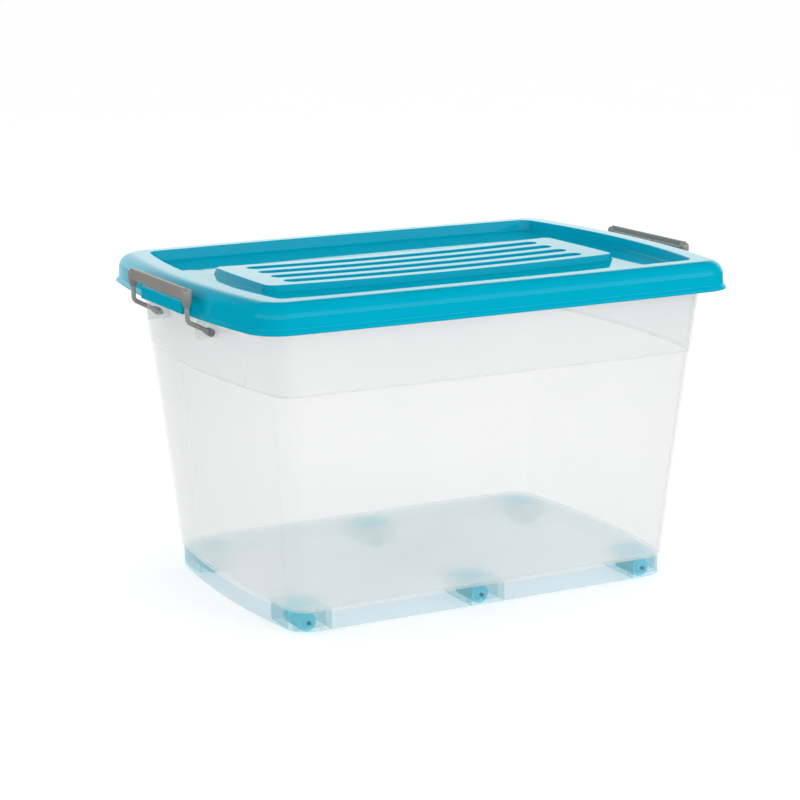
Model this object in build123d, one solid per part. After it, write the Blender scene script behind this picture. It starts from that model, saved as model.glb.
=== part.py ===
"""Rolling lidded storage box: a clear tub on six small rollers, a lift-off lid with a
recessed tray, and a wire bail latch at each short end.  Millimetres, Z up, X along the
long side.  The origin is on the floor under the middle of the box."""
from build123d import *
import os

# ---------------------------------------------------------------- driving dimensions
# heights
BASE_CLEARANCE = 5.0        # floor to the lower edge of the base skirt
TUB_FLOOR = 28.0            # upper face of the tub floor
STEP_HEIGHT = 264.0         # shoulder where the wall widens into the upper band
SKIRT_BOTTOM = 333.2        # lower edge of the lid skirt
RIM_TOP = 364.8             # flat top of the lid rim
TRAY_TOP = 352.0            # recessed floor of the lid
PANEL_TOP = 359.5           # ends of the raised panel in the tray
PANEL_SAG = 2.5             # how far the middle of the panel dips
FLANGE_TOP = 355.5          # flange round the tub's mouth, hidden under the lid

# plan outlines: half length, half width, corner radius, bow of the ends, bow of the sides
SKIRT_PLAN = (226.8, 161.2, 23.8, 14.6, 1.2)
FLOOR_PLAN = (229.4, 163.1, 23.5, 12.9, 1.5)
STEP_PLAN = (249.6, 186.0, 25.2, 18.1, 0.6)
LID_PLAN = (278.5, 210.8, 35.0, 18.5, 3.9)
TRAY_PLAN = (246.7, 181.3, 14.0, 18.4, 3.4)
PANEL_PLAN = (216.0, 75.0, 12.5, 1.0, 0.5)
PANEL_FOOT = 213.0          # half length over which the panel dips

WALL = 2.0                  # tub wall
LID_WALL = 2.2
STEP_INSET = 0.9            # lower wall stands this far inside the upper band
STEP_RISE = 1.4             # height of the small ledge at the shoulder
INSET_RUN = 60.0            # height over which the lower wall draws in
FLANGE_REACH = 10.5         # the flange stands this far out from the wall
FLANGE_DROP = 12.0          # height of its turned-down edge
FLOOR_ROUND = 5.0           # inside radius where the wall meets the floor
LIP_FLARE = 3.0             # outward flare at the lid skirt's lower edge
RIM_ROLL = 15.5             # outer radius of the lid's rounded shoulder
SEAT_GAP = 0.3              # lid to tub, under the rim
TUB_TOP = RIM_TOP - LID_WALL - SEAT_GAP
TRAY_DRAFT = 1.2            # the tray's walls lean in by this much
TRAY_ROUND = 2.0
PANEL_DRAFT = 0.36          # sideways lean of the panel's walls for each millimetre up
GROOVE_PITCH, GROOVE_WIDTH = 32.7, 18.0
GROOVE_DEPTH, GROOVE_END = 4.0, 183.8

# rollers
WHEEL_RADIUS = 10.5
WHEEL_X = (-208.3, 0.0, 208.3)
TREAD_SPAN = (104.0, 143.5)     # distance of the tread's ends from the centre plane
HUB_SPAN = (101.0, 145.9)
HUB_RADIUS = 6.2
AXLE_RADIUS = 2.0
AXLE_SPAN = (96.4, 149.6)
RUNNING_CLEARANCE = 0.06
POD_HALF = 21.2                 # half width of a roller housing
POD_WALLS = (97.0, 147.0)       # near faces of the walls that carry an axle
BOSS_RADIUS, BOSS_REACH = 4.0, 1.4
RIB = 1.8
BORE_SPAN = (90.0, 155.0)

# latches
PIVOT_X, PIVOT_Z = 281.2, 317.0
LEG_X, LEG_Y = 306.7, 76.2
WIRE_RADIUS = 2.5
WIRE_BEND = 7.0
SEAM_Z = 345.5                  # lower end of the moulded grip
GRIP_TOP = 366.2
GRIP_BOTTOM = 352.9
GRIP_INNER_X, GRIP_OUTER_X = 306.3, 309.6
BRACKET_Y = 66.7
BRACKET_THICK = 3.0
BRACKET_X = 294.4
BRACKET_Z = (309.5, 331.4)
SLEEVE_RADIUS = 4.2             # ferrule pressed over each bent end of the wire
SLEEVE_END = 79.3
SLEEVE_GAP = 0.4                # ferrule to bracket plate
LUG_HALF, LUG_X = 57.4, 305.9
LUG_Z = (335.0, 349.6)

os.makedirs("parts", exist_ok=True)


# ---------------------------------------------------------------- helpers
def plan(half_length, half_width, corner, end_bow, side_bow, z=0.0, grow=0.0):
    """Rounded rectangle whose four edges bow outward, as a face at height z."""
    x, y = half_length + grow, half_width + grow
    edges = [
        ThreePointArc((x, -y), (x + end_bow, 0), (x, y)),
        ThreePointArc((x, y), (0, y + side_bow), (-x, y)),
        ThreePointArc((-x, y), (-x - end_bow, 0), (-x, -y)),
        ThreePointArc((-x, -y), (0, -y - side_bow), (x, -y)),
    ]
    face = make_face(edges)
    return Pos(0, 0, z) * fillet(face.vertices(), max(corner + grow, 1.0))


def stack(*sections):
    """Ruled solid through faces given from bottom to top."""
    return loft(list(sections), ruled=True)


def lerp_plan(low, high, z_low, z_high, z, grow=0.0):
    """The outline between (or beyond) two outlines of one tapered wall."""
    t = (z - z_low) / (z_high - z_low)
    return plan(*[p + (q - p) * t for p, q in zip(low, high)], z=z, grow=grow)


def block(x0, x1, y0, y1, z0, z1):
    middle = Pos((x0 + x1) / 2, (y0 + y1) / 2, (z0 + z1) / 2)
    return middle * Box(abs(x1 - x0), abs(y1 - y0), z1 - z0)


def rod_y(x, z, radius, y0, y1):
    """Cylinder along Y."""
    return Pos(x, (y0 + y1) / 2, z) * Rot(90, 0, 0) * Cylinder(radius, abs(y1 - y0))


def top_edges(solid):
    return solid.edges().group_by(Axis.Z)[-1]


def bottom_edges(solid):
    return solid.edges().group_by(Axis.Z)[0]


def save(solid, name):
    solid.label = name
    export_step(solid, f"parts/{name}.step")


# ---------------------------------------------------------------- tub
def wall_plan(z, grow):
    """Outline of the tapered wall at height z, above or below the shoulder."""
    if z < STEP_HEIGHT - 0.1:
        grow -= STEP_INSET * min(1.0, (z - TUB_FLOOR) / INSET_RUN)
    return lerp_plan(FLOOR_PLAN, STEP_PLAN, TUB_FLOOR, STEP_HEIGHT, z, grow)


def wall_solid(grow, top_z, shoulder_shift=0.0):
    """Solid bounded by the wall: lower part, small shoulder, upper band."""
    return stack(
        wall_plan(TUB_FLOOR, grow),
        wall_plan(TUB_FLOOR + INSET_RUN, grow),
        Pos(0, 0, shoulder_shift) * wall_plan(STEP_HEIGHT - STEP_RISE, grow),
        Pos(0, 0, shoulder_shift) * wall_plan(STEP_HEIGHT, grow),
        wall_plan(top_z, grow),
    )


def make_flange():
    """Flat flange round the mouth with a turned-down edge."""
    low = FLANGE_TOP - FLANGE_DROP
    flange = extrude(wall_plan(FLANGE_TOP - WALL, FLANGE_REACH), WALL)
    flange += extrude(wall_plan(low, FLANGE_REACH), FLANGE_DROP)
    flange -= extrude(wall_plan(low, FLANGE_REACH - WALL), FLANGE_DROP - WALL)
    return fillet(top_edges(flange), 1.5)


def make_tub():
    outer = wall_solid(0.0, TUB_TOP)
    inner = wall_solid(-WALL, TUB_TOP + 5.0, -0.6)
    inner = fillet(bottom_edges(inner), FLOOR_ROUND)
    outer = fillet(top_edges(outer), 0.8)
    skirt_height = TUB_FLOOR - BASE_CLEARANCE
    skirt = extrude(plan(*SKIRT_PLAN, z=BASE_CLEARANCE), skirt_height)
    skirt -= extrude(plan(*SKIRT_PLAN, z=BASE_CLEARANCE, grow=-WALL), skirt_height - WALL)
    slab = extrude(wall_plan(TUB_FLOOR, -0.5), -WALL)
    tub = outer + make_flange() + skirt + slab + make_brackets()
    tub -= inner
    tub += make_pods()
    for x in WHEEL_X:
        for side in (-1, 1):
            near, far = side * BORE_SPAN[0], side * BORE_SPAN[1]
            tub -= rod_y(x, WHEEL_RADIUS, AXLE_RADIUS + RUNNING_CLEARANCE, near, far)
    return tub


def make_pods():
    """Cross walls and axle walls of the six roller housings, under the floor."""
    low, high = BASE_CLEARANCE, TUB_FLOOR - WALL / 2
    inside = extrude(plan(*SKIRT_PLAN, z=low, grow=-WALL / 2), high - low)
    outer_y = SKIRT_PLAN[1] + 5.0
    pods = []
    for side in (-1, 1):
        for x in WHEEL_X:
            for edge in (-1, 1):
                at = x + edge * (POD_HALF - RIB / 2)
                span = side * POD_WALLS[0], side * outer_y
                pods.append(block(at - RIB / 2, at + RIB / 2, *span, low, high))
            for near in POD_WALLS:
                span = side * near, side * (near + RIB)
                pods.append(block(x - POD_HALF, x + POD_HALF, *span, low, high))
            boss = side * POD_WALLS[0], side * (POD_WALLS[0] + RIB + BOSS_REACH)
            pods.append(rod_y(x, WHEEL_RADIUS, BOSS_RADIUS, *boss))
    joined = pods[0]
    for piece in pods[1:]:
        joined += piece
    return joined & inside


def make_brackets():
    """Four plates on the end walls that carry the latch pivots."""
    low, high = BRACKET_Z
    parts = None
    for end in (-1, 1):
        for side in (-1, 1):
            outline_points = [(262.0, low), (BRACKET_X, low), (BRACKET_X, high - 5.0),
                              (BRACKET_X - 6.0, high), (262.0, high)]
            wire = Polyline(*[(end * px, 0, pz) for px, pz in outline_points], close=True)
            plate = extrude(make_face(wire), BRACKET_THICK / 2, dir=(0, 1, 0), both=True)
            plate = Pos(0, side * BRACKET_Y, 0) * plate
            plate -= rod_y(end * PIVOT_X, PIVOT_Z, WIRE_RADIUS + RUNNING_CLEARANCE,
                           side * (BRACKET_Y - 4), side * (BRACKET_Y + 4))
            parts = plate if parts is None else parts + plate
    return parts


# ---------------------------------------------------------------- lid
def sag_surface_solid(drop, half_width):
    """Everything above the shallow dish of the panel, lowered by drop."""
    half, top = 240.0, 380.0
    end_z = PANEL_TOP - drop + PANEL_SAG * ((half / PANEL_FOOT) ** 2 - 1.0)
    mid_z = PANEL_TOP - drop - PANEL_SAG
    arc = ThreePointArc((-half, 0, end_z), (0, 0, mid_z), (half, 0, end_z))
    rest = Polyline((half, 0, end_z), (half, 0, top), (-half, 0, top), (-half, 0, end_z))
    return extrude(make_face([arc, rest]), half_width, dir=(0, 1, 0), both=True)


def lid_shell_face(z, grow):
    return plan(*LID_PLAN, z=z, grow=grow)


def make_skirted_rim():
    """Skirt with a flared lip, rounded shoulder and flat rim, still closed on top."""
    outer = stack(
        lid_shell_face(SKIRT_BOTTOM, LIP_FLARE - 0.3),
        lid_shell_face(SKIRT_BOTTOM + 1.8, LIP_FLARE),
        lid_shell_face(SKIRT_BOTTOM + 5.4, 0.2),
        lid_shell_face(RIM_TOP, -0.4),
    )
    outer = fillet(top_edges(outer), RIM_ROLL)
    inner = stack(
        lid_shell_face(SKIRT_BOTTOM - 1.0, LIP_FLARE + 0.3 - LID_WALL),
        lid_shell_face(SKIRT_BOTTOM + 1.2, LIP_FLARE - LID_WALL),
        lid_shell_face(SKIRT_BOTTOM + 5.0, 0.2 - LID_WALL),
        lid_shell_face(RIM_TOP - LID_WALL, -0.4 - LID_WALL),
    )
    inner = fillet(top_edges(inner), RIM_ROLL - LID_WALL)
    return outer - inner


def sink_tray(lid):
    """Cuts the tray inside the rim and rounds the rim's inner edge."""
    tray = stack(plan(*TRAY_PLAN, z=TRAY_TOP - LID_WALL, grow=LID_WALL - TRAY_DRAFT),
                 plan(*TRAY_PLAN, z=RIM_TOP - 1.0, grow=LID_WALL))
    pocket = stack(plan(*TRAY_PLAN, z=TRAY_TOP, grow=-TRAY_DRAFT),
                   plan(*TRAY_PLAN, z=RIM_TOP))
    pocket = fillet(bottom_edges(pocket), TRAY_ROUND)
    above = extrude(plan(*TRAY_PLAN, z=RIM_TOP), 10.0)
    lid = lid + tray - pocket - above
    reach_x, reach_y = LID_PLAN[0] - 10.0, LID_PLAN[1] - 22.0
    rim = lid.edges().filter_by_position(Axis.Z, RIM_TOP - 0.01, RIM_TOP + 0.01)
    inner_rim = [e for e in rim if abs(e.center().X) < reach_x and abs(e.center().Y) < reach_y]
    return fillet(inner_rim, 1.2)


def panel_stack(shrink, foot):
    """The panel's drafted sides, carried up well past its top."""
    rise = PANEL_TOP + 8.0 - TRAY_TOP
    return stack(plan(*PANEL_PLAN, z=TRAY_TOP - foot, grow=-shrink),
                 plan(*PANEL_PLAN, z=TRAY_TOP, grow=-shrink),
                 plan(*PANEL_PLAN, z=TRAY_TOP + rise, grow=-shrink - PANEL_DRAFT * rise))


def make_grooves(widen):
    """Four long round-ended slots through the panel."""
    slots = None
    for row in (-1.5, -0.5, 0.5, 1.5):
        outline = SlotOverall(2 * (GROOVE_END + widen), GROOVE_WIDTH + 2 * widen)
        slot = extrude(Pos(0, row * GROOVE_PITCH, TRAY_TOP - 5.0) * outline, 30.0)
        slots = slot if slots is None else slots + slot
    return slots


def make_lid():
    lid = sink_tray(make_skirted_rim() + make_lugs())
    half_width = PANEL_PLAN[1] + 20.0
    panel = panel_stack(0.0, 0.5) - sag_surface_solid(0.0, half_width)
    hollow = panel_stack(LID_WALL, LID_WALL + 1.0) - sag_surface_solid(LID_WALL, half_width)
    grooves = make_grooves(0.0) & sag_surface_solid(GROOVE_DEPTH, half_width)
    troughs = make_grooves(LID_WALL) & sag_surface_solid(GROOVE_DEPTH + LID_WALL, half_width)
    return lid + panel - (hollow - troughs) - grooves


def make_lugs():
    """The block on each short end of the lid that the latch grip snaps over."""
    parts = None
    for end in (-1, 1):
        lug = block(end * 294.6, end * LUG_X, -LUG_HALF, LUG_HALF, *LUG_Z)
        outside = lug.edges().filter_by(lambda e: abs(e.center().X) > LUG_X - 0.1)
        lug = fillet(outside, 1.8)
        inside = LUG_HALF - LID_WALL
        hollow = block(end * 290.0, end * (LUG_X - LID_WALL), -inside, inside,
                       LUG_Z[0] - 1, LUG_Z[1] - LID_WALL)
        hollow &= block(end * 296.9, end * 310.0, -80, 80, LUG_Z[0] - 1, LUG_Z[1])
        lug -= hollow
        parts = lug if parts is None else parts + lug
    return parts


# ---------------------------------------------------------------- rollers
def make_wheel(x, side):
    """Smooth tread on a narrower hub, bored for its pin."""
    tread = rod_y(x, WHEEL_RADIUS, WHEEL_RADIUS, side * TREAD_SPAN[0], side * TREAD_SPAN[1])
    tread = fillet(tread.edges().filter_by(GeomType.CIRCLE), 1.2)
    hub = rod_y(x, WHEEL_RADIUS, HUB_RADIUS, side * HUB_SPAN[0], side * HUB_SPAN[1])
    hub = fillet(hub.edges().filter_by(GeomType.CIRCLE), 0.8)
    near, far = side * BORE_SPAN[0], side * BORE_SPAN[1]
    bore = rod_y(x, WHEEL_RADIUS, AXLE_RADIUS + RUNNING_CLEARANCE, near, far)
    return tread + hub - bore


def make_axle(x, side):
    pin = rod_y(x, WHEEL_RADIUS, AXLE_RADIUS, side * AXLE_SPAN[0], side * AXLE_SPAN[1])
    return chamfer(pin.edges().filter_by(GeomType.CIRCLE), 0.4)


# ---------------------------------------------------------------- latches
def make_wire(end):
    """One bent wire: cross bar inside the grip, two legs, two inward pivot ends."""
    pin_end, cross_z = 60.5, 358.5
    half = []
    for side in (-1, 1):
        half.append([
            (end * PIVOT_X, side * pin_end, PIVOT_Z),
            (end * PIVOT_X, side * LEG_Y, PIVOT_Z),
            (end * LEG_X, side * LEG_Y, 330.6),
            (end * LEG_X, side * LEG_Y, cross_z),
        ])
    points = half[0] + half[1][::-1]
    path = FilletPolyline(*points, radius=[4.5, WIRE_BEND, 6.0, 6.0, WIRE_BEND, 4.5])
    profile = Plane(origin=path @ 0, z_dir=path % 0) * Circle(WIRE_RADIUS)
    return sweep(profile, path=path)


def make_grip(end, wire):
    """Moulded grip: a flat bar between two tapered barrels that sleeve the wire legs."""
    barrel_profile = make_face([
        Line((0, 0), (3.1, 0)),
        Spline((3.1, 0), (4.4, 4.0), (5.4, 10.0)),
        Line((5.4, 10.0), (5.4, 15.0)),
        Spline((5.4, 15.0), (4.4, 18.4), (0, 19.6), tangents=[(0, 1), (-1, 0)]),
        Line((0, 19.6), (0, 0)),
    ])
    barrel = revolve(Plane.XZ * barrel_profile, Axis.Z)
    grip = block(end * GRIP_INNER_X, end * GRIP_OUTER_X, -LEG_Y, LEG_Y, GRIP_BOTTOM, GRIP_TOP)
    grip = fillet(grip.edges().filter_by(Axis.Y), 1.2)
    for side in (-1, 1):
        grip += Pos(end * LEG_X, side * LEG_Y, SEAM_Z) * barrel
    return grip - wire


def make_sleeve(end, side, wire):
    """Ferrule pressed over the bent end of the wire, with a ring turned in its face."""
    inner = BRACKET_Y + BRACKET_THICK / 2 + SLEEVE_GAP
    ferrule = rod_y(end * PIVOT_X, PIVOT_Z, SLEEVE_RADIUS, side * inner, side * SLEEVE_END)
    ferrule = fillet(ferrule.edges().filter_by(GeomType.CIRCLE), 0.7)
    face = side * (SLEEVE_END - 0.5), side * (SLEEVE_END + 1.0)
    ring = rod_y(end * PIVOT_X, PIVOT_Z, 2.9, *face) - rod_y(end * PIVOT_X, PIVOT_Z, 2.0, *face)
    return ferrule - ring - wire


# ---------------------------------------------------------------- write the nodes
ENDS = {"left": -1, "right": 1}
SIDES = {"front": -1, "back": 1}
PLACES = dict(zip(("left", "middle", "right"), WHEEL_X))

save(make_tub(), "tub")
save(make_lid(), "lid")
for end_name, end_sign in ENDS.items():
    latch_wire = make_wire(end_sign)
    save(latch_wire, f"{end_name}_latch_wire")
    save(make_grip(end_sign, latch_wire), f"{end_name}_latch_grip")
    for side_name, side_sign in SIDES.items():
        sleeve = make_sleeve(end_sign, side_sign, latch_wire)
        save(sleeve, f"{end_name}_latch_{side_name}_sleeve")
for side_name, side_sign in SIDES.items():
    for place_name, wheel_x in PLACES.items():
        save(make_wheel(wheel_x, side_sign), f"wheel_{side_name}_{place_name}")
        save(make_axle(wheel_x, side_sign), f"axle_{side_name}_{place_name}")
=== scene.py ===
"""Looks of a clear wheeled storage box with a cyan clip-down lid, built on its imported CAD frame."""

import math

import bmesh
import bpy
from mathutils import Matrix, Vector
from mathutils.geometry import delaunay_2d_cdt


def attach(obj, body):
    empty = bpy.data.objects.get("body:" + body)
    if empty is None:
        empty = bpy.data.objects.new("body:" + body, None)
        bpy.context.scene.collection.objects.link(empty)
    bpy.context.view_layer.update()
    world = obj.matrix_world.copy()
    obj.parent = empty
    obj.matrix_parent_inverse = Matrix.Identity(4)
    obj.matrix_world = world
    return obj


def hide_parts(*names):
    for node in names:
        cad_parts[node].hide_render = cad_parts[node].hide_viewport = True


MM = 0.001

CAMERA_PLACE = Vector((-1.2063, -2.2961, 0.7710))
CAMERA_YAW = 27.287
CAMERA_PITCH = 12.413
CAMERA_ROLL = -0.584
SENSOR = 36.0
LENS = 105.885
CLIP = (0.05, 200.0)

# world brightness: behind the box, as fill light by height, and as seen in glossy surfaces
BACKDROP = 1.0
HORIZON_FILL = 1.3
ZENITH_FILL = 0.72
GROUND_FILL = 0.7
HORIZON_GLOSS = 1.7
DARK_GLOSS = 0.03
GLOSS_TINT = (1.0, 0.985, 0.92, 1.0)

# softboxes: name, place in metres and power in watts, all of one size and aimed at the box's middle
SOFTBOXES = (
    ("front", (0.9, -2.9, 1.1), 35.0),
    ("left", (-2.4, 1.5, 0.9), 16.0),
    ("right", (2.7, 0.9, 0.9), 12.0),
)
SOFTBOX_SIZE = (1.8, 1.4)
BOX_MIDDLE = (0, 0, 0.2)
FLOOR_HALF = 40.0
FLOOR_GLOW = 0.52
CLEAR_BOUNCES = 32

# rollers: middles along X, the row's distance from the middle, and the half width of the painted cyan glow
# that stands for each roller seen through the tub's floor, in millimetres
ROLLER_X = (-208.3, 0.0, 208.3)
ROLLER_Y = 125.0
ROLLER_GLOW_SIZE = 26.0

# plan outlines in millimetres: half length, half width, corner radius, bow of ends, bow of sides
SKIRT_PLAN = (226.8, 161.2, 23.8, 14.6, 1.2)
FLOOR_PLAN = (229.4, 163.1, 23.5, 12.9, 1.5)
STEP_PLAN = (249.6, 186.0, 25.2, 18.1, 0.6)
LID_PLAN = (278.5, 210.8, 35.0, 18.5, 3.9)
TRAY_PLAN = (246.7, 181.3, 14.0, 18.4, 3.4)
PANEL_PLAN = (216.0, 75.0, 12.5, 1.0, 0.5)

# heights in millimetres
BASE_CLEARANCE = 5.0
TUB_FLOOR = 28.0
STEP_HEIGHT = 264.0
FLANGE_TOP = 355.5
TUB_TOP = 362.3
SKIRT_BOTTOM = 333.2
RIM_TOP = 364.8
TRAY_TOP = 352.0
PANEL_TOP = 359.5
PANEL_SAG = 2.5
PANEL_FOOT = 213.0

# walls and small features in millimetres
WALL = 2.0
LID_WALL = 2.2
WALL_HEIGHTS = (140.0, 200.0)
COLLAR_HEIGHT = 300.0
STEP_INSET = 0.9
STEP_RISE = 1.4
INSET_RUN = 60.0
FLANGE_REACH = 10.5
FLANGE_DROP = 12.0
FLOOR_ROUND = 5.0
HEEL_ROUND = 2.2
LIP_FLARE = 3.0
RIM_ROLL = 15.5
TRAY_DRAFT = 1.2
PANEL_DRAFT = 0.36
GROOVE_ROWS = (-49.05, -16.35, 16.35, 49.05)
GROOVE_HALF = 9.0
GROOVE_DEPTH = 4.0
GROOVE_END = 183.8
EDGE_ROLL = 0.5
LUG_HALF = 57.4
LUG_REACH = (294.6, 305.9)
LUG_HEIGHTS = (335.0, 349.6)
POD_HALF = 21.2
POD_WALLS = (97.0, 147.0)
RIB = 1.8
FIT_GAP = 0.05
BRACKET_OUTLINE = ((269.0, 309.5), (294.4, 309.5), (294.4, 326.4), (288.4, 331.4), (269.0, 331.4))
BRACKET_Y = 66.7
BRACKET_THICK = 3.0
PIVOT = (281.2, 317.0)
PIVOT_BORE = 2.56
LUG_ROUND = 1.8

# finish of the meshes
BEVEL = 0.25
SHARP_ANGLE = 50.0


def bowed_corner(plan, grow):
    """Circles of one corner: end arc, corner arc and side arc, as centre and radius, with the angles
    at which they meet. A plan is a rounded rectangle whose four edges bow outward."""
    length, width, radius, end_bow, side_bow = plan
    length, width, radius = length + grow, width + grow, max(radius + grow, 0.4)
    end_radius = (end_bow ** 2 + width ** 2) / (2 * end_bow)
    side_radius = (side_bow ** 2 + length ** 2) / (2 * side_bow)
    end_x = length + end_bow - end_radius
    side_y = width + side_bow - side_radius
    x, y = length - radius, width - radius
    for _ in range(12):
        to_end, to_side = math.hypot(x - end_x, y), math.hypot(x, y - side_y)
        miss_end, miss_side = to_end - (end_radius - radius), to_side - (side_radius - radius)
        a, b = (x - end_x) / to_end, y / to_end
        c, d = x / to_side, (y - side_y) / to_side
        det = a * d - b * c
        x -= (d * miss_end - b * miss_side) / det
        y -= (a * miss_side - c * miss_end) / det
    first = math.atan2(y, x - end_x)
    second = math.atan2(y - side_y, x)
    return (end_x, end_radius), (x, y, radius), (side_y, side_radius), first, second


def outline(plan, grow=0.0, end_steps=12, corner_steps=9, side_steps=16):
    """Points round a plan, anticlockwise from the middle of its +X edge, in millimetres."""
    (end_x, end_radius), (x, y, radius), (side_y, side_radius), first, second = bowed_corner(plan, grow)
    quarter = []
    for i in range(end_steps):
        t = first * i / end_steps
        quarter.append((end_x + end_radius * math.cos(t), end_radius * math.sin(t)))
    for i in range(corner_steps):
        t = first + (second - first) * i / corner_steps
        quarter.append((x + radius * math.cos(t), y + radius * math.sin(t)))
    for i in range(side_steps):
        t = second + (math.pi / 2 - second) * i / side_steps
        quarter.append((side_radius * math.cos(t), side_y + side_radius * math.sin(t)))
    top = (0.0, side_y + side_radius)
    left = [(-px, py) for px, py in reversed(quarter)]
    upper = quarter + [top] + left
    lower = [(-px, -py) for px, py in upper[1:-1]]
    return upper + lower


def edge_y(plan, grow, x):
    """Half width of a plan at a distance x from its middle."""
    _, (cx, cy, radius), (side_y, side_radius), _, second = bowed_corner(plan, grow)
    if abs(x) < side_radius * math.cos(second):
        return side_y + math.sqrt(side_radius ** 2 - x * x)
    return cy + math.sqrt(max(radius ** 2 - (abs(x) - cx) ** 2, 0.0))


def wall_plan(z):
    """Outline of the tub's tapered wall at height z."""
    t = (z - TUB_FLOOR) / (STEP_HEIGHT - TUB_FLOOR)
    return tuple(a + (b - a) * t for a, b in zip(FLOOR_PLAN, STEP_PLAN))


def wall_inset(z):
    """How far the wall below the step stands back from the taper, easing in above the floor."""
    return STEP_INSET * min(1.0, (z - TUB_FLOOR) / INSET_RUN)


def sag(x):
    """Height of the panel's shallow dish at x, measured from its ends."""
    return PANEL_SAG * ((x / PANEL_FOOT) ** 2 - 1.0)


def quarter_round(steps, turn=0.0):
    """Cosine and sine pairs through a quarter turn."""
    for i in range(steps + 1):
        t = math.radians(turn + 90.0 * i / steps)
        yield math.cos(t), math.sin(t)


class Skin:
    """Collects rings of points, given in millimetres, and joins neighbours with quads."""

    def __init__(self):
        self.bm = bmesh.new()

    def ring(self, points, z):
        """A ring of vertices: z is a height or a function of x."""
        height = z if callable(z) else (lambda x: z)
        return [self.bm.verts.new((x * MM, y * MM, height(x) * MM)) for x, y in points]

    def ring_yz(self, x, points):
        """A ring of vertices across X, from Y and Z pairs."""
        return [self.bm.verts.new((x * MM, y * MM, z * MM)) for y, z in points]

    def join(self, first, second):
        """Quads between two rings of one length."""
        count = len(first)
        for i in range(count):
            j = (i + 1) % count
            self.bm.faces.new((first[i], first[j], second[j], second[i]))

    def chain(self, rings, close=False):
        for first, second in zip(rings, rings[1:]):
            self.join(first, second)
        if close:
            self.join(rings[-1], rings[0])

    def cap(self, ring):
        self.bm.faces.new(ring)

    def block(self, x0, x1, y0, y1, z0, z1):
        """A plate or rib with softened edges."""
        x0, x1 = sorted((x0, x1))
        y0, y1 = sorted((y0, y1))
        made = bmesh.ops.create_cube(self.bm, size=1.0)["verts"]
        for v in made:
            v.co = Vector(((x0 + x1) / 2 + v.co.x * (x1 - x0),
                           (y0 + y1) / 2 + v.co.y * (y1 - y0),
                           (z0 + z1) / 2 + v.co.z * (z1 - z0))) * MM
        edges = list(dict.fromkeys(e for v in made for e in v.link_edges))
        bmesh.ops.bevel(self.bm, geom=edges, offset=BEVEL * MM, segments=2, affect="EDGES", profile=0.5)

    def settle(self):
        """Sorts vertices, edges and faces by place, since a bevel leaves them in an order that varies."""
        self.bm.verts.index_update()
        places = [tuple(round(c, 7) for c in v.co) for v in self.bm.verts]
        ranked = sorted(range(len(places)), key=places.__getitem__)
        rank = {index: turn for turn, index in enumerate(ranked)}
        for items in (self.bm.edges, self.bm.faces):
            items.index_update()
            corners = [sorted(rank[v.index] for v in item.verts) for item in items]
            ranked = sorted(range(len(corners)), key=corners.__getitem__)
            turns = {index: turn for turn, index in enumerate(ranked)}
            items.sort(key=lambda item: turns[item.index])
        self.bm.verts.sort(key=lambda v: rank[v.index])

    def finish(self, name, body, slot, material, *replaced):
        """Makes the piece, which shows in place of the CAD nodes named last."""
        bmesh.ops.recalc_face_normals(self.bm, faces=self.bm.faces)
        self.settle()
        mesh = bpy.data.meshes.new(name)
        self.bm.to_mesh(mesh)
        self.bm.free()
        mesh.shade_smooth()
        mesh.set_sharp_from_angle(angle=math.radians(SHARP_ANGLE))
        mesh.materials.append(material)
        piece = bpy.data.objects.new(name, mesh)
        bpy.context.scene.collection.objects.link(piece)
        weigh = piece.modifiers.new("weighted_normals", "WEIGHTED_NORMAL")
        weigh.mode = "FACE_AREA"
        weigh.weight = 90
        weigh.keep_sharp = True
        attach(piece, body)
        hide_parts(*replaced)
        return piece


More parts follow.
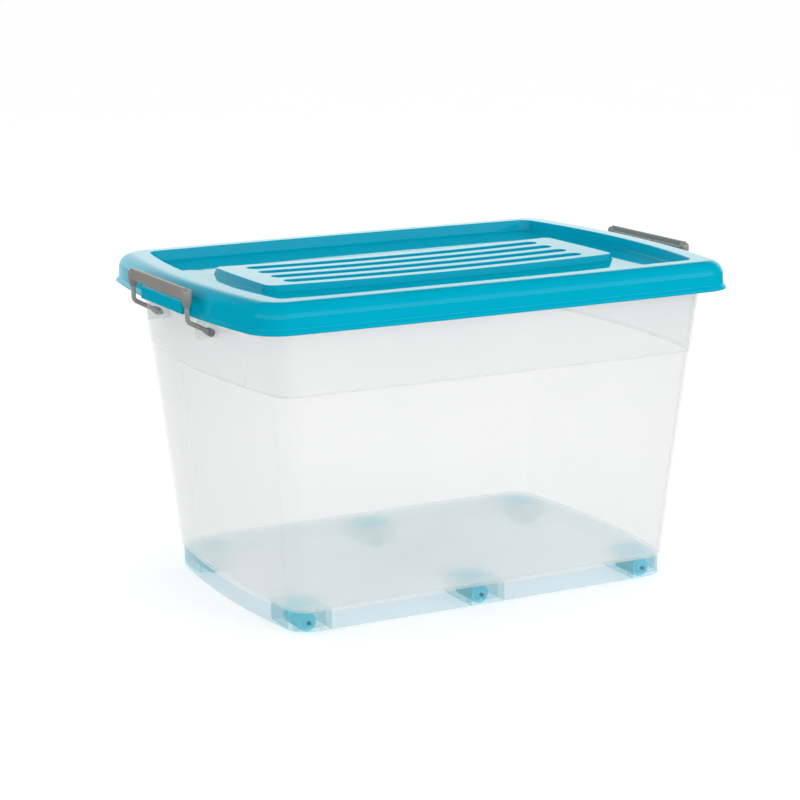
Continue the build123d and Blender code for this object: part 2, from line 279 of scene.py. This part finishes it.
def make_tub(material):
    """Tub in one closed skin: floor, rounded corner, inner wall, mouth, flange, outer wall, skirt."""
    skin = Skin()

    def wall(z, grow, inset=None):
        back = wall_inset(z) if inset is None else inset
        return skin.ring(outline(wall_plan(z), grow - back), z)

    rings = []
    for c, s in quarter_round(6, 270.0):
        z = TUB_FLOOR + FLOOR_ROUND * (1.0 + s)
        rings.append(wall(z, -WALL - FLOOR_ROUND * (1.0 - c)))
    floor_ring = rings[0]
    rings.append(wall(TUB_FLOOR + INSET_RUN, -WALL))
    for z in (*WALL_HEIGHTS, STEP_HEIGHT - STEP_RISE - 0.8):
        rings.append(wall(z, -WALL, STEP_INSET))
    for z in (STEP_HEIGHT - 0.4, COLLAR_HEIGHT, TUB_TOP - 0.8):
        rings.append(wall(z, -WALL, 0.0))
    # the mouth's rounded edge
    for grow, down in ((-WALL + 0.25, 0.25), (-WALL + 0.8, 0.0), (-0.8, 0.0), (-0.25, 0.25), (0.0, 0.8)):
        rings.append(wall(TUB_TOP - down, grow, 0.0))
    rings.append(wall(FLANGE_TOP, 0.0, 0.0))
    # the turned-down flange, out over its top, round its edge and back in under it
    flange = wall_plan(FLANGE_TOP)
    for back, down in ((1.5, 0.0), (0.45, 0.45), (0.0, 1.5), (0.0, FLANGE_DROP - 0.4), (0.4, FLANGE_DROP),
                       (WALL - 0.4, FLANGE_DROP), (WALL, FLANGE_DROP - 0.4), (WALL, WALL)):
        rings.append(skin.ring(outline(flange, FLANGE_REACH - back), FLANGE_TOP - down))
    rings.append(wall(FLANGE_TOP - WALL, 0.0, 0.0))
    # down the outside
    for z in (COLLAR_HEIGHT, STEP_HEIGHT + 0.3):
        rings.append(wall(z, 0.0, 0.0))
    rings.append(wall(STEP_HEIGHT, -0.25, 0.0))
    rings.append(wall(STEP_HEIGHT - STEP_RISE, 0.0, STEP_INSET))
    for z in (*reversed(WALL_HEIGHTS), TUB_FLOOR + INSET_RUN):
        rings.append(wall(z, 0.0, STEP_INSET))
    rings.append(wall(50.0, 0.0))
    for c, s in quarter_round(5):
        heel = outline(wall_plan(TUB_FLOOR), -HEEL_ROUND * (1.0 - c))
        rings.append(skin.ring(heel, TUB_FLOOR + HEEL_ROUND * (1.0 - s)))
    rings.append(skin.ring(outline(SKIRT_PLAN), TUB_FLOOR - 0.6))
    for grow, z in ((0.0, BASE_CLEARANCE + 0.5), (-0.5, BASE_CLEARANCE), (0.5 - WALL, BASE_CLEARANCE),
                    (-WALL, BASE_CLEARANCE + 0.5), (-WALL, TUB_FLOOR - WALL - 1.0),
                    (-WALL - 1.0, TUB_FLOOR - WALL)):
        rings.append(skin.ring(outline(SKIRT_PLAN, grow), z))
    skin.chain(rings)
    skin.cap(floor_ring)
    skin.cap(rings[-1])
    add_housings(skin)
    add_brackets(skin)
    return skin.finish("tub_shell", "tub", "clear_tub", material, "tub")


def add_housings(skin):
    """Cross walls and axle walls of the six roller housings."""
    low, high = BASE_CLEARANCE, TUB_FLOOR - WALL - FIT_GAP
    for side in (-1, 1):
        for middle in ROLLER_X:
            for edge in (-1, 1):
                at = middle + edge * (POD_HALF - RIB / 2)
                near = POD_WALLS[0] + RIB + FIT_GAP
                far = edge_y(SKIRT_PLAN, -WALL, abs(at) + RIB / 2) - FIT_GAP
                skin.block(at - RIB / 2, at + RIB / 2, side * near, side * far, low, high)
            for near in POD_WALLS:
                reach = POD_HALF if near == POD_WALLS[0] else POD_HALF - RIB - FIT_GAP
                skin.block(middle - reach, middle + reach, side * near, side * (near + RIB), low, high)


def add_brackets(skin):
    """Four clear plates on the end walls, bored for the latch pivots."""
    pivot_x, pivot_z = PIVOT
    angles = {2 * math.pi * i / 24 for i in range(24)}
    angles |= {math.atan2(z - pivot_z, x - pivot_x) % (2 * math.pi) for x, z in BRACKET_OUTLINE}
    rim, bore = [], []
    for t in sorted(angles):
        c, s = math.cos(t), math.sin(t)
        reach = 1e9
        for (x0, z0), (x1, z1) in zip(BRACKET_OUTLINE, BRACKET_OUTLINE[1:] + BRACKET_OUTLINE[:1]):
            ex, ez = x1 - x0, z1 - z0
            det = c * ez - s * ex
            if abs(det) < 1e-9:
                continue
            along = ((x0 - pivot_x) * ez - (z0 - pivot_z) * ex) / det
            where = ((x0 - pivot_x) * s - (z0 - pivot_z) * c) / det
            if along > 0 and -1e-6 <= where <= 1 + 1e-6:
                reach = min(reach, along)
        rim.append((pivot_x + reach * c, pivot_z + reach * s))
        bore.append((pivot_x + PIVOT_BORE * c, pivot_z + PIVOT_BORE * s))
    for end in (-1, 1):
        for side in (-1, 1):
            faces = []
            for points, across in ((rim, -1), (rim, 1), (bore, 1), (bore, -1)):
                y = side * BRACKET_Y + across * BRACKET_THICK / 2
                faces.append([skin.bm.verts.new((end * x * MM, y * MM, z * MM)) for x, z in points])
            skin.chain(faces, close=True)


def capsule(half_length, radius, straight_steps=30, turn_steps=8):
    """Upper half of a round-ended slot from its left tip to its right tip."""
    flat = half_length - radius
    points = [(-flat - radius * math.cos(t), radius * math.sin(t))
              for t in (math.pi / 2 * i / turn_steps for i in range(turn_steps))]
    points += [(-flat + 2 * flat * i / straight_steps, radius) for i in range(straight_steps)]
    points += [(flat + radius * math.sin(t), radius * math.cos(t))
               for t in (math.pi / 2 * i / turn_steps for i in range(turn_steps + 1))]
    return points


def slot_ring(row, grow):
    """Outline of the groove in one row, grown all round."""
    upper = capsule(GROOVE_END + grow, GROOVE_HALF + grow)
    lower = [(x, -y) for x, y in reversed(upper[1:-1])]
    return [(x, y + row) for x, y in upper + lower]


def in_slot(x, y, grow):
    """Whether a point of the panel lies in a groove."""
    past = max(abs(x) - (GROOVE_END - GROOVE_HALF), 0.0)
    return any(math.hypot(past, y - row) < GROOVE_HALF + grow - 1e-3 for row in GROOVE_ROWS)


def grooved_face(skin, rim, height, widen):
    """The panel's dished face, with four grooves let into it, inside the ring of vertices rim."""
    def lift(drop):
        return lambda x: height + sag(x) - drop

    tops = [skin.ring(slot_ring(row, widen + EDGE_ROLL), lift(0.0)) for row in GROOVE_ROWS]
    loops = [rim] + tops
    verts = [v for loop in loops for v in loop]
    flat = [Vector((v.co.x / MM, v.co.y / MM)) for v in verts]
    edges, start = [], 0
    for loop in loops:
        count = len(loop)
        edges += [(start + i, start + (i + 1) % count) for i in range(count)]
        start += count
    made = delaunay_2d_cdt(flat, edges, [], 1, 1e-5)
    places, triangles, sources = made[0], made[2], made[3]
    for face in triangles:
        middle = sum((places[i] for i in face), Vector((0.0, 0.0))) / len(face)
        if in_slot(middle.x, middle.y, widen + EDGE_ROLL):
            continue
        skin.bm.faces.new([verts[sources[i][0]] for i in face])
    for row, top in zip(GROOVE_ROWS, tops):
        rings = [top]
        for c, s in list(quarter_round(3))[::-1][1:]:
            edge = slot_ring(row, widen + EDGE_ROLL * (1.0 - c))
            rings.append(skin.ring(edge, lift(EDGE_ROLL * (1.0 - s))))
        for inside, up in ((0.0, 1.0), (0.3, 0.3), (1.0, 0.0)):
            rings.append(skin.ring(slot_ring(row, widen - inside), lift(GROOVE_DEPTH - up)))
        skin.chain(rings)
        base = rings[-1]
        half = len(base) // 2
        upper, lower = base[:half + 1], [base[0]] + base[half:][::-1]
        for i in range(half):
            corners = [upper[i], upper[i + 1], lower[i + 1], lower[i]]
            skin.bm.faces.new([v for k, v in enumerate(corners) if v not in corners[:k]])


def make_lid(material):
    """Lid in one closed skin: tray underside, rim, skirt, shoulder, tray and grooved panel."""
    skin = Skin()
    tray_low = TRAY_TOP - LID_WALL

    def foot(x):
        """The tray floor dips with the panel, so the panel's wall keeps its height."""
        return min(sag(x), 0.0)

    def tray(grow, z):
        return skin.ring(outline(TRAY_PLAN, grow), z)

    def rim(grow, z):
        return skin.ring(outline(LID_PLAN, grow), z)

    rise = PANEL_TOP - LID_WALL - TRAY_TOP
    hollow = skin.ring(outline(PANEL_PLAN, -LID_WALL - PANEL_DRAFT * rise),
                       lambda x: PANEL_TOP - LID_WALL + sag(x))
    rings = [hollow]
    rings += [skin.ring(outline(PANEL_PLAN, grow), lambda x, up=up: tray_low + up + foot(x))
              for grow, up in ((-LID_WALL, 0.6), (-LID_WALL + 0.6, 0.0))]
    rings += [tray(LID_WALL - TRAY_DRAFT - 1.0, tray_low), tray(LID_WALL - TRAY_DRAFT, tray_low + 1.0),
              tray(LID_WALL, RIM_TOP - LID_WALL)]
    inner_roll = RIM_ROLL - LID_WALL
    for c, s in list(quarter_round(8))[::-1]:
        rings.append(rim(-0.4 - LID_WALL - inner_roll * (1.0 - c),
                         RIM_TOP - LID_WALL - inner_roll * (1.0 - s)))
    # the skirt's flared lip, down its inside, round its edge and up its outside
    flare_inside = LIP_FLARE - LID_WALL
    for grow, up in ((0.2 - LID_WALL, 5.0), (flare_inside, 1.2), (flare_inside + 0.3, 0.3),
                     (flare_inside + 0.7, 0.0), (LIP_FLARE - 0.9, 0.0), (LIP_FLARE - 0.25, 0.35),
                     (LIP_FLARE, 1.2), (LIP_FLARE - 0.15, 2.4), (LIP_FLARE - 1.2, 4.0),
                     (0.5, 5.2), (0.2, 6.4)):
        rings.append(rim(grow, SKIRT_BOTTOM + up))
    for c, s in quarter_round(12):
        rings.append(rim(-0.4 - RIM_ROLL * (1.0 - c), RIM_TOP - RIM_ROLL * (1.0 - s)))
    for c, s in quarter_round(4, 90.0):
        rings.append(tray(1.2 + 1.2 * c, RIM_TOP - 1.2 * (1.0 - s)))
    for c, s in quarter_round(5):
        rings.append(tray(-TRAY_DRAFT - 2.0 * (1.0 - c), TRAY_TOP + 2.0 * (1.0 - s)))
    rings += [skin.ring(outline(PANEL_PLAN, grow), lambda x, up=up: TRAY_TOP + up + foot(x))
              for grow, up in ((0.5, 0.0), (0.12, 0.15), (-0.1, 0.5))]
    edge = PANEL_DRAFT * (PANEL_TOP - TRAY_TOP)
    for c, s in quarter_round(3):
        rings.append(skin.ring(outline(PANEL_PLAN, -edge - EDGE_ROLL * (1.0 - c)),
                               lambda x, s=s: PANEL_TOP + sag(x) - EDGE_ROLL * (1.0 - s)))
    skin.chain(rings)
    grooved_face(skin, rings[-1], PANEL_TOP, 0.0)
    grooved_face(skin, hollow, PANEL_TOP - LID_WALL, LID_WALL)
    add_lugs(skin)
    return skin.finish("lid_shell", "lid", "blue_lid", material, "lid")


def add_lugs(skin):
    """The block on each short end that the latch grip snaps over."""
    low, high = LUG_HEIGHTS
    near, far = LUG_REACH
    middle, half_height, soft = (low + high) / 2, (high - low) / 2, LUG_ROUND

    def section(shrink):
        points = []
        for turn, sy, sz in ((0, 1, 1), (90, -1, 1), (180, -1, -1), (270, 1, -1)):
            for c, s in quarter_round(4, turn):
                radius = soft - shrink + 0.05
                y = sy * (LUG_HALF - soft) + radius * c
                z = middle + sz * (half_height - soft) + radius * s
                points.append((y, z))
        return points

    for end in (-1, 1):
        rings = [skin.ring_yz(end * near, section(0.0))]
        for c, s in quarter_round(4):
            rings.append(skin.ring_yz(end * (far - soft * (1.0 - s)), section(soft * (1.0 - c))))
        skin.chain(rings)
        skin.cap(rings[0])
        skin.cap(rings[-1])


def make_camera():
    """The camera looks along yaw and pitch, with a slight roll about its own line of sight."""
    yaw, pitch, roll = (math.radians(a) for a in (CAMERA_YAW, CAMERA_PITCH, CAMERA_ROLL))
    ahead = Vector((
        math.sin(yaw) * math.cos(pitch),
        math.cos(yaw) * math.cos(pitch),
        -math.sin(pitch),
    ))
    level_right = Vector((math.cos(yaw), -math.sin(yaw), 0.0))
    level_up = level_right.cross(ahead)
    right = level_right * math.cos(roll) + level_up * math.sin(roll)
    up = level_up * math.cos(roll) - level_right * math.sin(roll)
    data = bpy.data.cameras.new("camera")
    data.sensor_width = SENSOR
    data.lens = LENS
    data.clip_start, data.clip_end = CLIP
    camera = bpy.data.objects.new("camera", data)
    turn = Matrix((right, up, -ahead)).transposed().to_4x4()
    camera.matrix_world = Matrix.Translation(CAMERA_PLACE) @ turn
    bpy.context.scene.collection.objects.link(camera)
    bpy.context.scene.camera = camera


class Nodes:
    """A short way to write one material's node tree."""

    def __init__(self, name):
        self.material = bpy.data.materials.new(name)
        self.material.use_nodes = True
        self.tree = self.material.node_tree
        self.tree.nodes.clear()
        self.output = self.tree.nodes.new("ShaderNodeOutputMaterial")

    def put(self, socket, value):
        """Links a socket to the value, or sets the value on it."""
        if isinstance(value, bpy.types.NodeSocket):
            self.tree.links.new(value, socket)
        else:
            socket.default_value = value

    def add(self, kind, inputs=None, **settings):
        node = self.tree.nodes.new(kind)
        for name, value in settings.items():
            setattr(node, name, value)
        for name, value in (inputs or {}).items():
            self.put(node.inputs[name], value)
        return node

    def math(self, operation, *values, clamp=False):
        """One arithmetic step."""
        node = self.add("ShaderNodeMath", operation=operation, use_clamp=clamp)
        for socket, value in zip(node.inputs, values):
            self.put(socket, value)
        return node.outputs[0]

    def ramp(self, value, low, high, out_low=0.0, out_high=1.0):
        """A smooth step of value from low to high."""
        node = self.add("ShaderNodeMapRange", interpolation_type="SMOOTHSTEP")
        for name, number in (("Value", value), ("From Min", low), ("From Max", high),
                             ("To Min", out_low), ("To Max", out_high)):
            self.put(node.inputs[name], number)
        return node.outputs[0]

    def place(self):
        """The surface point in the object's own frame."""
        return self.add("ShaderNodeTexCoord").outputs["Object"]

    def split(self, vector):
        """X, Y and Z of a vector."""
        node = self.add("ShaderNodeSeparateXYZ", {"Vector": vector})
        return node.outputs["X"], node.outputs["Y"], node.outputs["Z"]

    def noise(self, vector, scale, detail=2.0, stretch=None):
        """Smooth noise from 0 to 1, drawn out along an axis where stretch is small."""
        if stretch:
            vector = self.add("ShaderNodeMapping", {"Vector": vector, "Scale": stretch}).outputs[0]
        inputs = {"Vector": vector, "Scale": scale, "Detail": detail}
        return self.add("ShaderNodeTexNoise", inputs).outputs["Fac"]

    def mix(self, factor, first, second):
        node = self.add("ShaderNodeMix", data_type="RGBA")
        self.put(node.inputs[0], factor)
        self.put(node.inputs[6], first)
        self.put(node.inputs[7], second)
        return node.outputs[2]

    def bump(self, height, strength, distance):
        inputs = {"Height": height, "Strength": strength, "Distance": distance}
        return self.add("ShaderNodeBump", inputs).outputs[0]

    def finish(self, shader):
        self.put(self.output.inputs["Surface"], shader)
        return self.material


def lid_plastic():
    """Glossy cyan polypropylene with faint clouding and the slight orange peel of moulding."""
    n = Nodes("lid_plastic")
    where = n.place()
    cloud = n.noise(where, 9.0, 3.0)
    colour = n.mix(cloud, (0.0, 0.355, 0.505, 1), (0.0, 0.385, 0.545, 1))
    peel = n.noise(where, 420.0, 2.0)
    rough = n.ramp(n.noise(where, 60.0, 3.0), 0.3, 0.7, 0.035, 0.055)
    surface = n.add("ShaderNodeBsdfPrincipled", {
        "Base Color": colour,
        "Roughness": rough,
        "IOR": 1.22,
        "Normal": n.bump(peel, 0.03, 0.0002),
    })
    return n.finish(surface.outputs[0])


def tub_plastic():
    """Clear polypropylene: hazier above the step, milky in the floor, with a painted cyan glow over each
    roller and a painted cyan grey skirt, which stand for the rollers and the shaded floor seen through it.
    """
    n = Nodes("tub_plastic")
    where = n.place()
    x, y, z = n.split(where)
    _, _, facing = n.split(n.add("ShaderNodeNewGeometry").outputs["Normal"])
    flat = n.ramp(n.math("ABSOLUTE", facing), 0.6, 0.8)
    low = n.ramp(z, (TUB_FLOOR + 4.0) * MM, (TUB_FLOOR + 1.0) * MM)
    plate = n.math("MULTIPLY", flat, low)
    band = n.ramp(z, (STEP_HEIGHT - 1.5) * MM, (STEP_HEIGHT + 0.5) * MM)
    # The skirt below the floor: a little less haze, and its milk and tint turn cyan grey, which is painted
    # colour standing for the cyan rollers and the shaded floor under the tub seen through it.
    base = n.ramp(z, (TUB_FLOOR - 2.4) * MM, (TUB_FLOOR - 3.4) * MM)
    haze = n.ramp(n.noise(where, 6.0, 3.0), 0.3, 0.7, 0.095, 0.11)
    haze = n.math("ADD", haze, n.math("MULTIPLY", band, 0.12))
    step = n.math("MULTIPLY", n.ramp(z, (STEP_HEIGHT - 2.0) * MM, (STEP_HEIGHT - 1.4) * MM),
                  n.ramp(z, (STEP_HEIGHT + 0.5) * MM, (STEP_HEIGHT + 0.1) * MM))
    haze = n.math("ADD", haze, n.math("MULTIPLY", step, 0.3))
    haze = n.math("ADD", haze, n.math("MULTIPLY", base, -0.02))
    haze = n.math("MAXIMUM", haze, n.math("MULTIPLY", plate, 0.44))
    # Painted cyan glow over each roller: colour in the floor that stands for the roller seen through it, in
    # place of light passing through the plastic.
    painted_roller_glow = None
    for roller_x in ROLLER_X:
        across = n.math("DIVIDE", n.math("SUBTRACT", x, roller_x * MM), ROLLER_GLOW_SIZE * MM)
        along = n.math("SUBTRACT", n.math("ABSOLUTE", y), ROLLER_Y * MM)
        along = n.math("DIVIDE", along, ROLLER_GLOW_SIZE * MM)
        far = n.math("ADD", n.math("MULTIPLY", across, across), n.math("MULTIPLY", along, along))
        roller_glow = n.ramp(far, 1.6, 0.1)
        painted_roller_glow = roller_glow if painted_roller_glow is None else n.math("MAXIMUM", painted_roller_glow, roller_glow)
    painted_roller_glow = n.math("MULTIPLY", painted_roller_glow, plate)
    milk = n.mix(plate, (0.97, 0.955, 0.935, 1), (0.96, 0.995, 1.0, 1))
    # Painted cyan grey milk in the skirt, for the rollers and the shaded floor seen through it.
    milk = n.mix(base, milk, (0.82, 0.95, 0.99, 1))
    # The painted roller glow turns the floor's milk cyan.
    milk = n.mix(n.math("MULTIPLY", painted_roller_glow, 0.32), milk, (0.50, 0.94, 1.0, 1))
    # The see-through tint is painted cyan grey in the skirt too.
    tint = n.mix(base, (0.984, 0.984, 0.983, 1), (0.885, 0.94, 0.957, 1))
    clear = n.add("ShaderNodeBsdfTransparent", {"Color": tint})
    front = n.add("ShaderNodeBsdfPrincipled", {
        "Base Color": milk,
        "Roughness": 0.22,
        "IOR": 1.49,
    })
    behind = n.add("ShaderNodeBsdfTranslucent", {"Color": milk})
    body = n.add("ShaderNodeMixShader", {0: 0.4, 1: front.outputs[0], 2: behind.outputs[0]})
    slant = n.add("ShaderNodeLayerWeight", {"Blend": 0.5}).outputs["Facing"]
    edge = n.math("MULTIPLY", n.math("POWER", slant, 4.0), 0.8)
    share = n.math("ADD", haze, n.math("MULTIPLY", edge, n.math("SUBTRACT", 1.0, haze)), clamp=True)
    both = n.add("ShaderNodeMixShader", {0: share, 1: clear.outputs[0], 2: body.outputs[0]})
    return n.finish(both.outputs[0])


def grip_plastic():
    """Satin grey moulded plastic with a fine texture."""
    n = Nodes("grip_plastic")
    where = n.place()
    tone = n.noise(where, 35.0, 3.0)
    colour = n.mix(tone, (0.31, 0.292, 0.28, 1), (0.365, 0.345, 0.33, 1))
    grain = n.noise(where, 900.0, 2.0)
    surface = n.add("ShaderNodeBsdfPrincipled", {
        "Base Color": colour,
        "Metallic": 0.25,
        "Roughness": n.ramp(grain, 0.2, 0.8, 0.32, 0.42),
        "IOR": 1.5,
        "Normal": n.bump(grain, 0.12, 0.0001),
    })
    return n.finish(surface.outputs[0])


def wire_steel():
    """Drawn steel wire, lightly scratched along its length."""
    n = Nodes("wire_steel")
    where = n.place()
    scratches = n.noise(where, 700.0, 3.0, stretch=(1.0, 0.2, 0.2))
    tone = n.mix(scratches, (0.46, 0.44, 0.42, 1), (0.58, 0.56, 0.54, 1))
    surface = n.add("ShaderNodeBsdfPrincipled", {
        "Base Color": tone,
        "Metallic": 0.4,
        "Roughness": n.ramp(scratches, 0.2, 0.8, 0.24, 0.36),
        "Normal": n.bump(scratches, 0.08, 0.0001),
    })
    return n.finish(surface.outputs[0])


def roller_plastic():
    """Cyan moulded roller plastic, slightly translucent."""
    n = Nodes("roller_plastic")
    where = n.place()
    tone = n.noise(where, 60.0, 2.0)
    colour = n.mix(tone, (0.20, 0.85, 0.95, 1), (0.24, 0.89, 0.98, 1))
    surface = n.add("ShaderNodeBsdfPrincipled", {
        "Base Color": colour,
        "Roughness": n.ramp(tone, 0.2, 0.8, 0.30, 0.38),
        "IOR": 1.49,
        "Subsurface Weight": 0.35,
        "Subsurface Scale": 0.006,
    })
    return n.finish(surface.outputs[0])


def pin_steel_painted_shade():
    """Axle pins in turned steel, coloured dark teal: painted shade of the holes they sit in and a painted
    cyan reflection of the roller plastic round them.
    """
    n = Nodes("pin_steel_painted_shade")
    where = n.place()
    rings = n.noise(where, 900.0, 1.0, stretch=(1.0, 0.1, 1.0))
    # The dark teal base colour is painted shade and painted cyan reflection, not the colour of the steel.
    surface = n.add("ShaderNodeBsdfPrincipled", {
        "Base Color": n.mix(rings, (0.01, 0.17, 0.24, 1), (0.02, 0.22, 0.30, 1)),
        "Metallic": 0.3,
        "Roughness": n.ramp(rings, 0.2, 0.8, 0.25, 0.35),
    })
    return n.finish(surface.outputs[0])


def floor_paint():
    """Matt white that glows a little, so that the floor fades into the backdrop."""
    n = Nodes("floor_paint")
    where = n.place()
    tone = n.noise(where, 3.0, 2.0)
    colour = n.mix(tone, (0.60, 0.60, 0.60, 1), (0.61, 0.61, 0.61, 1))
    surface = n.add("ShaderNodeBsdfDiffuse", {"Color": colour})
    glow = n.add("ShaderNodeEmission", {"Color": (1, 1, 1, 1), "Strength": FLOOR_GLOW})
    both = n.add("ShaderNodeAddShader", {0: surface.outputs[0], 1: glow.outputs[0]})
    return n.finish(both.outputs[0])


def dress(frame):
    """Gives the CAD nodes that show their materials."""
    finishes = {
        "grip": grip_plastic(),
        "wire": wire_steel(),
        "wheel": roller_plastic(),
        "axle": pin_steel_painted_shade(),
    }
    for name, node in frame["nodes"].items():
        if name in ("tub", "lid"):
            continue
        if name.startswith("wheel"):
            finish = finishes["wheel"]
        elif name.startswith("axle"):
            finish = finishes["axle"]
        elif name.endswith("wire"):
            finish = finishes["wire"]
        else:
            finish = finishes["grip"]
        node.data.materials.clear()
        node.data.materials.append(finish)


def make_floor():
    """A plain pale floor, left out of reflections and of bounced light."""
    half = FLOOR_HALF
    mesh = bpy.data.meshes.new("floor")
    corners = [(-half, -half, 0), (half, -half, 0), (half, half, 0), (-half, half, 0)]
    mesh.from_pydata(corners, [], [(0, 1, 2, 3)])
    mesh.materials.append(floor_paint())
    floor = bpy.data.objects.new("floor", mesh)
    bpy.context.scene.collection.objects.link(floor)
    floor.visible_glossy = False
    floor.visible_diffuse = False


def softbox(name, place, power):
    """An area light that lights the box but isn't mirrored in it."""
    data = bpy.data.lights.new(name, "AREA")
    data.shape = "RECTANGLE"
    data.size, data.size_y = SOFTBOX_SIZE
    data.energy = power
    light = bpy.data.objects.new(name, data)
    light.location = place
    light.rotation_mode = "QUATERNION"
    light.rotation_quaternion = (Vector(BOX_MIDDLE) - Vector(place)).to_track_quat("-Z", "Y")
    light.visible_glossy = False
    bpy.context.scene.collection.objects.link(light)


def make_world():
    """White backdrop, even fill, and a bright band at the horizon behind the box for reflections."""
    world = bpy.data.worlds.new("world")
    world.use_nodes = True
    tree = world.node_tree
    tree.nodes.clear()

    def add(kind, **settings):
        node = tree.nodes.new(kind)
        for name, value in settings.items():
            setattr(node, name, value)
        return node

    def put(socket, value):
        if isinstance(value, bpy.types.NodeSocket):
            tree.links.new(value, socket)
        else:
            socket.default_value = value

    def ramp(value, low, high, out_low, out_high):
        node = add("ShaderNodeMapRange", interpolation_type="SMOOTHSTEP")
        for socket, number in zip(node.inputs, (value, low, high, out_low, out_high)):
            put(socket, number)
        return node.outputs[0]

    def maths(operation, first, second):
        node = add("ShaderNodeMath", operation=operation)
        put(node.inputs[0], first)
        put(node.inputs[1], second)
        return node.outputs[0]

    def times(first, second):
        return maths("MULTIPLY", first, second)

    def plus(first, second):
        return maths("ADD", first, second)

    def blend(factor, first, second):
        node = add("ShaderNodeMix", data_type="FLOAT")
        for socket, value in zip((node.inputs[0], node.inputs[2], node.inputs[3]), (factor, first, second)):
            put(socket, value)
        return node.outputs[0]

    direction = add("ShaderNodeTexCoord").outputs["Generated"]
    split = add("ShaderNodeSeparateXYZ")
    put(split.inputs[0], direction)
    height = split.outputs["Z"]
    behind = add("ShaderNodeVectorMath", operation="DOT_PRODUCT")
    put(behind.inputs[0], direction)
    yaw = math.radians(CAMERA_YAW)
    behind.inputs[1].default_value = (math.sin(yaw), math.cos(yaw), 0.0)
    toward = behind.outputs["Value"]
    around = plus(ramp(toward, 0.45, 0.80, 0.0, 1.0), ramp(toward, -0.25, 0.0, 1.0, 0.0))
    sky = times(around, ramp(height, -0.01, 0.01, 0.0, 1.0))
    ground = times(ramp(toward, 0.72, 0.90, 0.0, 1.0), ramp(height, 0.01, -0.01, 0.0, 1.0))
    seen = times(plus(sky, ground), ramp(height, 0.30, 0.60, 1.0, 0.0))
    gloss = blend(seen, DARK_GLOSS, HORIZON_GLOSS)
    path = add("ShaderNodeLightPath")
    fill = ramp(height, 0.0, 0.6, HORIZON_FILL, ZENITH_FILL)
    fill = blend(ramp(height, -0.05, 0.0, 1.0, 0.0), fill, GROUND_FILL)
    strength = blend(path.outputs["Is Glossy Ray"], fill, gloss)
    strength = blend(path.outputs["Is Camera Ray"], strength, BACKDROP)
    tint = add("ShaderNodeMix", data_type="RGBA")
    put(tint.inputs[0], path.outputs["Is Glossy Ray"])
    put(tint.inputs[6], (1.0, 1.0, 1.0, 1.0))
    put(tint.inputs[7], GLOSS_TINT)
    background = add("ShaderNodeBackground")
    put(background.inputs["Color"], tint.outputs[2])
    put(background.inputs["Strength"], strength)
    output = add("ShaderNodeOutputWorld")
    put(output.inputs["Surface"], background.outputs[0])
    bpy.context.scene.world = world


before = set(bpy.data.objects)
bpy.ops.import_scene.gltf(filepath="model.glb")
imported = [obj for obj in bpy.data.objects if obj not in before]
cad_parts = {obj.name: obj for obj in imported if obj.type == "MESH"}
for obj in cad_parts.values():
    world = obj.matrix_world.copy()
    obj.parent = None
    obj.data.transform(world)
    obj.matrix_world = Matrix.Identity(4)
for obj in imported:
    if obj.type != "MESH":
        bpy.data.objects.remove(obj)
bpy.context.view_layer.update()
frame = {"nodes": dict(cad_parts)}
scene = bpy.context.scene
scene.view_settings.view_transform = "Standard"
scene.cycles.transparent_max_bounces = CLEAR_BOUNCES
make_camera()
dress(frame)
make_tub(tub_plastic())
make_lid(lid_plastic())
make_floor()
make_world()
for name, place, power in SOFTBOXES:
    softbox(name, place, power)
